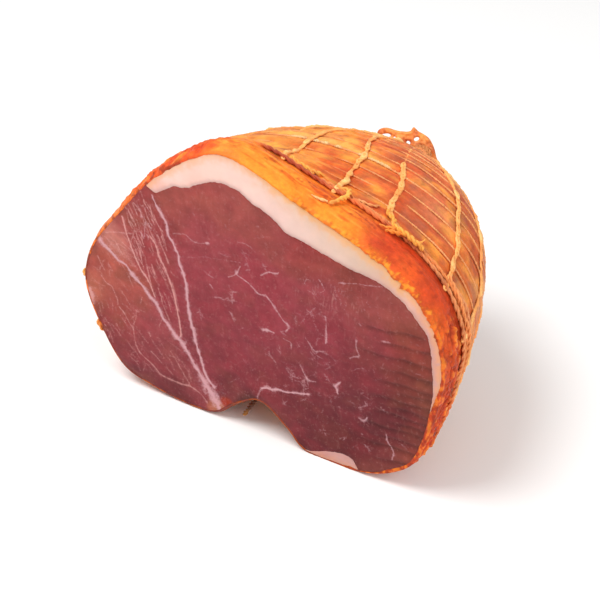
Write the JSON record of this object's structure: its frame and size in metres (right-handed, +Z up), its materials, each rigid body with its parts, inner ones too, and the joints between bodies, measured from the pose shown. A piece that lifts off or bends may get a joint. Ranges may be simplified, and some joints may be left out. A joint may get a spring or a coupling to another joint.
{
  "type": "culatello",
  "caption": "Half of a cured, tied pork culatello in its casing and net, cut straight across to show lean meat, sinews and a white fat cap.",
  "frame": {"origin": "middle of the bounding box, at the level of the surface that the piece lies on", "axes": "+X across the cut, to the right as seen facing it; +Y from the cut to the tied tail; +Z up"},
  "size_m": [0.1954, 0.1304, 0.1482],
  "materials": {
    "cured_meat": "satin, moist cut face and waxy orange casing",
    "pork_fat": "soft satin",
    "cotton_net": "greasy, smoked cotton"
  },
  "bodies": {
    "root": {"meat": "cured_meat", "fat_cap": "pork_fat", "underside_fat": "pork_fat", "net": "cotton_net"}
  },
  "joints": []
}
